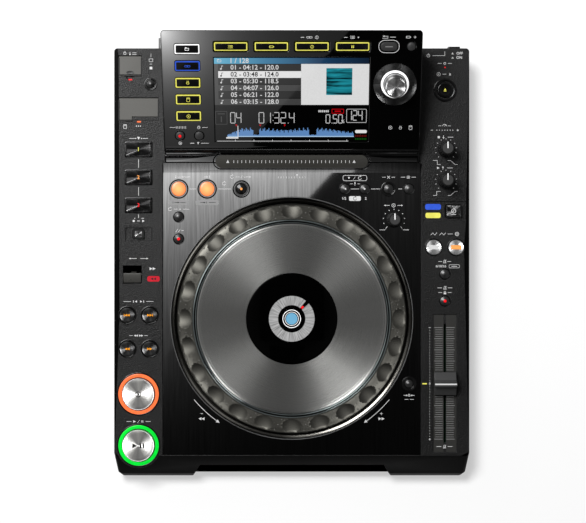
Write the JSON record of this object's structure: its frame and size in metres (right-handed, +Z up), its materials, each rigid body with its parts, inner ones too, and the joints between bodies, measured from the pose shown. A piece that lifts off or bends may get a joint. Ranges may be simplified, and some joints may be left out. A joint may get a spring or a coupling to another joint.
{
  "type": "tabletop disc player",
  "caption": "Slot-loading disc player for a DJ's table, with a large jog wheel, tilted screen, push keys, knobs and a tempo fader.",
  "frame": {"origin": "on the table, under the middle of the box round the player", "axes": "+X to the user's right, +Y to the rear, +Z up"},
  "size_m": [0.3196, 0.4056, 0.1063],
  "materials": {
    "column_plastic": "fine leather-grained moulding",
    "brushed_panel": "dark anodised, brushed front to back",
    "steel_tray": "black powder coat",
    "gloss_black": "polished piano black",
    "screen_glass": "clear window over a lit screen",
    "jog_dark": "polished dish",
    "jog_rubber": "satin moulded ring with finger dimples",
    "spun_metal": "circular spun grain",
    "chrome_cap": "polished, spun grain",
    "lit_amber": "lit translucent cap",
    "button_black": "satin cap",
    "button_silver": "satin silver cap",
    "knob_black": "satin, soft touch",
    "drive_metal": "zinc-plated sheet",
    "board_green": "printed circuit board",
    "jack_metal": "nickel plated",
    "foot_rubber": "matt rubber",
    "screw_black": "black oxide",
    "white_print": "white ink",
    "lit_green": "lit green",
    "lit_orange": "lit orange",
    "lit_red": "lit red",
    "lit_yellow": "lit yellow",
    "lit_blue": "lit blue",
    "lit_white": "lit white",
    "screen_picture": "screen picture",
    "apron_black": "satin moulded black"
  },
  "bodies": {
    "player": {"top_cover": "column_plastic", "deck_panel": "brushed_panel", "lower_case": "steel_tray", "display_housing": "gloss_black", "screen_and_touch_strip": "screen_glass", "jog_base": "jog_dark", "disc_drive": "drive_metal", "circuit_boards": "board_green", "sockets": "jack_metal", "feet": "foot_rubber", "case_screws": "screw_black"},
    "usb_stop_button": {"usb_stop_button": "button_black"},
    "hot_cue_pad_1": {"hot_cue_pad_1": "chrome_cap"},
    "hot_cue_pad_2": {"hot_cue_pad_2": "chrome_cap"},
    "hot_cue_pad_3": {"hot_cue_pad_3": "chrome_cap"},
    "call_key": {"call_key": "button_black"},
    "track_back_button": {"track_back_button": "chrome_cap"},
    "track_forward_button": {"track_forward_button": "chrome_cap"},
    "search_back_button": {"search_back_button": "chrome_cap"},
    "search_forward_button": {"search_forward_button": "chrome_cap"},
    "cue_button": {"cue_button": "chrome_cap"},
    "play_button": {"play_button": "chrome_cap"},
    "eject_button": {"eject_button": "button_black"},
    "jog_mode_button": {"jog_mode_button": "chrome_cap"},
    "sync_button": {"sync_button": "button_silver"},
    "master_button": {"master_button": "button_silver"},
    "tempo_range_button": {"tempo_range_button": "button_black"},
    "master_tempo_button": {"master_tempo_button": "button_black"},
    "loop_in_button": {"loop_in_button": "lit_amber"},
    "loop_out_button": {"loop_out_button": "lit_amber"},
    "reloop_button": {"reloop_button": "button_black"},
    "loop_mode_button": {"loop_mode_button": "button_black"},
    "slip_button": {"slip_button": "button_black"},
    "call_back_button": {"call_back_button": "button_black"},
    "call_next_button": {"call_next_button": "button_black"},
    "delete_button": {"delete_button": "button_black"},
    "memory_button": {"memory_button": "button_black"},
    "tempo_reset_button": {"tempo_reset_button": "button_black"},
    "browse_key": {"browse_key": "button_black"},
    "tag_key": {"tag_key": "button_black"},
    "info_key": {"info_key": "button_black"},
    "menu_key": {"menu_key": "button_black"},
    "quantize_button": {"quantize_button": "button_black"},
    "time_mode_button": {"time_mode_button": "button_black"},
    "back_button": {"back_button": "button_black"},
    "track_tag_button": {"track_tag_button": "button_black"},
    "source_keys": {"source_keys": "button_black"},
    "power_button": {"power_button": "button_black"},
    "selector_shaft": {"selector_shaft": "drive_metal"},
    "selector_knob": {"selector_knob": "chrome_cap"},
    "jog_ring": {"jog_ring": "jog_rubber"},
    "jog_plate": {"jog_plate": "spun_metal"},
    "touch_brake_knob": {"touch_brake_knob": "knob_black"},
    "release_start_knob": {"release_start_knob": "knob_black"},
    "jog_adjust_knob": {"jog_adjust_knob": "knob_black"},
    "usb_lid": {"usb_lid": "column_plastic"},
    "card_door": {"card_door": "column_plastic"},
    "direction_lever": {"direction_lever": "button_black"},
    "tempo_fader": {"tempo_fader": "knob_black"},
    "disc_spindle": {"disc_spindle": "drive_metal"}
  },
  "joints": [
    {"name": "usb_stop_button_press", "type": "slide", "parent": "player", "child": "usb_stop_button", "axis": [0, 0, -1], "range_m": [0, 0.0012], "stiffness_N_per_m": 400, "springref_m": -0.0005},
    {"name": "hot_cue_pad_1_press", "type": "slide", "parent": "player", "child": "hot_cue_pad_1", "axis": [0, 0, -1], "range_m": [0, 0.0012], "stiffness_N_per_m": 400, "springref_m": -0.0005},
    {"name": "hot_cue_pad_2_press", "type": "slide", "parent": "player", "child": "hot_cue_pad_2", "axis": [0, 0, -1], "range_m": [0, 0.0012], "stiffness_N_per_m": 400, "springref_m": -0.0005},
    {"name": "hot_cue_pad_3_press", "type": "slide", "parent": "player", "child": "hot_cue_pad_3", "axis": [0, 0, -1], "range_m": [0, 0.0012], "stiffness_N_per_m": 400, "springref_m": -0.0005},
    {"name": "call_key_press", "type": "slide", "parent": "player", "child": "call_key", "axis": [0, 0, -1], "range_m": [0, 0.0012], "stiffness_N_per_m": 400, "springref_m": -0.0005},
    {"name": "track_back_button_press", "type": "slide", "parent": "player", "child": "track_back_button", "axis": [0, 0, -1], "range_m": [0, 0.0012], "stiffness_N_per_m": 400, "springref_m": -0.0005},
    {"name": "track_forward_button_press", "type": "slide", "parent": "player", "child": "track_forward_button", "axis": [0, 0, -1], "range_m": [0, 0.0012], "stiffness_N_per_m": 400, "springref_m": -0.0005},
    {"name": "search_back_button_press", "type": "slide", "parent": "player", "child": "search_back_button", "axis": [0, 0, -1], "range_m": [0, 0.0012], "stiffness_N_per_m": 400, "springref_m": -0.0005},
    {"name": "search_forward_button_press", "type": "slide", "parent": "player", "child": "search_forward_button", "axis": [0, 0, -1], "range_m": [0, 0.0012], "stiffness_N_per_m": 400, "springref_m": -0.0005},
    {"name": "cue_button_press", "type": "slide", "parent": "player", "child": "cue_button", "axis": [0, 0, -1], "range_m": [0, 0.0012], "stiffness_N_per_m": 400, "springref_m": -0.0005},
    {"name": "play_button_press", "type": "slide", "parent": "player", "child": "play_button", "axis": [0, 0, -1], "range_m": [0, 0.0012], "stiffness_N_per_m": 400, "springref_m": -0.0005},
    {"name": "eject_button_press", "type": "slide", "parent": "player", "child": "eject_button", "axis": [0, 0, -1], "range_m": [0, 0.0012], "stiffness_N_per_m": 400, "springref_m": -0.0005},
    {"name": "jog_mode_button_press", "type": "slide", "parent": "player", "child": "jog_mode_button", "axis": [0, 0, -1], "range_m": [0, 0.0012], "stiffness_N_per_m": 400, "springref_m": -0.0005},
    {"name": "sync_button_press", "type": "slide", "parent": "player", "child": "sync_button", "axis": [0, 0, -1], "range_m": [0, 0.0012], "stiffness_N_per_m": 400, "springref_m": -0.0005},
    {"name": "master_button_press", "type": "slide", "parent": "player", "child": "master_button", "axis": [0, 0, -1], "range_m": [0, 0.0012], "stiffness_N_per_m": 400, "springref_m": -0.0005},
    {"name": "tempo_range_button_press", "type": "slide", "parent": "player", "child": "tempo_range_button", "axis": [0, 0, -1], "range_m": [0, 0.0012], "stiffness_N_per_m": 400, "springref_m": -0.0005},
    {"name": "master_tempo_button_press", "type": "slide", "parent": "player", "child": "master_tempo_button", "axis": [0, 0, -1], "range_m": [0, 0.0012], "stiffness_N_per_m": 400, "springref_m": -0.0005},
    {"name": "loop_in_button_press", "type": "slide", "parent": "player", "child": "loop_in_button", "axis": [0, 0, -1], "range_m": [0, 0.0012], "stiffness_N_per_m": 400, "springref_m": -0.0005},
    {"name": "loop_out_button_press", "type": "slide", "parent": "player", "child": "loop_out_button", "axis": [0, 0, -1], "range_m": [0, 0.0012], "stiffness_N_per_m": 400, "springref_m": -0.0005},
    {"name": "reloop_button_press", "type": "slide", "parent": "player", "child": "reloop_button", "axis": [0, 0, -1], "range_m": [0, 0.0012], "stiffness_N_per_m": 400, "springref_m": -0.0005},
    {"name": "loop_mode_button_press", "type": "slide", "parent": "player", "child": "loop_mode_button", "axis": [0, 0, -1], "range_m": [0, 0.0012], "stiffness_N_per_m": 400, "springref_m": -0.0005},
    {"name": "slip_button_press", "type": "slide", "parent": "player", "child": "slip_button", "axis": [0, 0, -1], "range_m": [0, 0.0012], "stiffness_N_per_m": 400, "springref_m": -0.0005},
    {"name": "call_back_button_press", "type": "slide", "parent": "player", "child": "call_back_button", "axis": [0, 0, -1], "range_m": [0, 0.0012], "stiffness_N_per_m": 400, "springref_m": -0.0005},
    {"name": "call_next_button_press", "type": "slide", "parent": "player", "child": "call_next_button", "axis": [0, 0, -1], "range_m": [0, 0.0012], "stiffness_N_per_m": 400, "springref_m": -0.0005},
    {"name": "delete_button_press", "type": "slide", "parent": "player", "child": "delete_button", "axis": [0, 0, -1], "range_m": [0, 0.0012], "stiffness_N_per_m": 400, "springref_m": -0.0005},
    {"name": "memory_button_press", "type": "slide", "parent": "player", "child": "memory_button", "axis": [0, 0, -1], "range_m": [0, 0.0012], "stiffness_N_per_m": 400, "springref_m": -0.0005},
    {"name": "tempo_reset_button_press", "type": "slide", "parent": "player", "child": "tempo_reset_button", "axis": [0, 0, -1], "range_m": [0, 0.0012], "stiffness_N_per_m": 400, "springref_m": -0.0005},
    {"name": "browse_key_press", "type": "slide", "parent": "player", "child": "browse_key", "axis": [0, 0.3473, -0.9377], "range_m": [0, 0.0012], "stiffness_N_per_m": 400, "springref_m": -0.0005},
    {"name": "tag_key_press", "type": "slide", "parent": "player", "child": "tag_key", "axis": [0, 0.3473, -0.9377], "range_m": [0, 0.0012], "stiffness_N_per_m": 400, "springref_m": -0.0005},
    {"name": "info_key_press", "type": "slide", "parent": "player", "child": "info_key", "axis": [0, 0.3473, -0.9377], "range_m": [0, 0.0012], "stiffness_N_per_m": 400, "springref_m": -0.0005},
    {"name": "menu_key_press", "type": "slide", "parent": "player", "child": "menu_key", "axis": [0, 0.3473, -0.9377], "range_m": [0, 0.0012], "stiffness_N_per_m": 400, "springref_m": -0.0005},
    {"name": "quantize_button_press", "type": "slide", "parent": "player", "child": "quantize_button", "axis": [0, 0.3473, -0.9377], "range_m": [0, 0.0012], "stiffness_N_per_m": 400, "springref_m": -0.0005},
    {"name": "time_mode_button_press", "type": "slide", "parent": "player", "child": "time_mode_button", "axis": [0, 0.3473, -0.9377], "range_m": [0, 0.0012], "stiffness_N_per_m": 400, "springref_m": -0.0005},
    {"name": "back_button_press", "type": "slide", "parent": "player", "child": "back_button", "axis": [0, 0.3473, -0.9377], "range_m": [0, 0.0012], "stiffness_N_per_m": 400, "springref_m": -0.0005},
    {"name": "track_tag_button_press", "type": "slide", "parent": "player", "child": "track_tag_button", "axis": [0, 0.3473, -0.9377], "range_m": [0, 0.0012], "stiffness_N_per_m": 400, "springref_m": -0.0005},
    {"name": "source_keys_press", "type": "slide", "parent": "player", "child": "source_keys", "axis": [0, 0.3473, -0.9377], "range_m": [0, 0.0012], "stiffness_N_per_m": 400, "springref_m": -0.0005},
    {"name": "power_button_press", "type": "slide", "parent": "player", "child": "power_button", "axis": [0, -1, 0], "range_m": [0, 0.0012], "stiffness_N_per_m": 400, "springref_m": -0.0005},
    {"name": "selector_push", "type": "slide", "parent": "player", "child": "selector_shaft", "axis": [0, 0.3473, -0.9377], "range_m": [0, 0.0008], "stiffness_N_per_m": 600, "springref_m": -0.0005},
    {"name": "selector_turn", "type": "hinge", "parent": "selector_shaft", "child": "selector_knob", "pos_m": [0.09075, 0.15379, 0.08959], "axis": [0, -0.3473, 0.9377], "continuous": true},
    {"name": "jog_turn", "type": "hinge", "parent": "player", "child": "jog_ring", "pos_m": [0, -0.053, 0.06], "axis": [0, 0, 1], "continuous": true},
    {"name": "jog_plate_press", "type": "slide", "parent": "jog_ring", "child": "jog_plate", "axis": [0, 0, -1], "range_m": [0, 0.0005], "stiffness_N_per_m": 4000, "springref_m": -0.0005},
    {"name": "touch_brake_knob_turn", "type": "hinge", "parent": "player", "child": "touch_brake_knob", "pos_m": [0.13885, 0.099, 0.06], "axis": [0, 0, 1], "range_deg": [-140, 140]},
    {"name": "release_start_knob_turn", "type": "hinge", "parent": "player", "child": "release_start_knob", "pos_m": [0.13885, 0.0708, 0.06], "axis": [0, 0, 1], "range_deg": [-140, 140]},
    {"name": "jog_adjust_knob_turn", "type": "hinge", "parent": "player", "child": "jog_adjust_knob", "pos_m": [0.09205, 0.0355, 0.06], "axis": [0, 0, 1], "range_deg": [-140, 140]},
    {"name": "usb_lid_swing", "type": "hinge", "parent": "player", "child": "usb_lid", "pos_m": [-0.14545, 0.18225, 0.0589], "axis": [-1, 0, 0], "range_deg": [0, 95]},
    {"name": "card_door_swing", "type": "hinge", "parent": "player", "child": "card_door", "pos_m": [-0.13785, 0.1444, 0.0589], "axis": [-1, 0, 0], "range_deg": [0, 95]},
    {"name": "direction_lever_swing", "type": "hinge", "parent": "player", "child": "direction_lever", "pos_m": [-0.14345, -0.0137, 0.0475], "axis": [-1, 0, 0], "range_deg": [0, 27]},
    {"name": "tempo_fader_slide", "type": "slide", "parent": "player", "child": "tempo_fader", "axis": [0, 1, 0], "range_m": [-0.05, 0.05]},
    {"name": "disc_spin", "type": "hinge", "parent": "player", "child": "disc_spindle", "pos_m": [0, -0.119, 0.026], "axis": [0, 0, 1], "continuous": true}
  ]
}
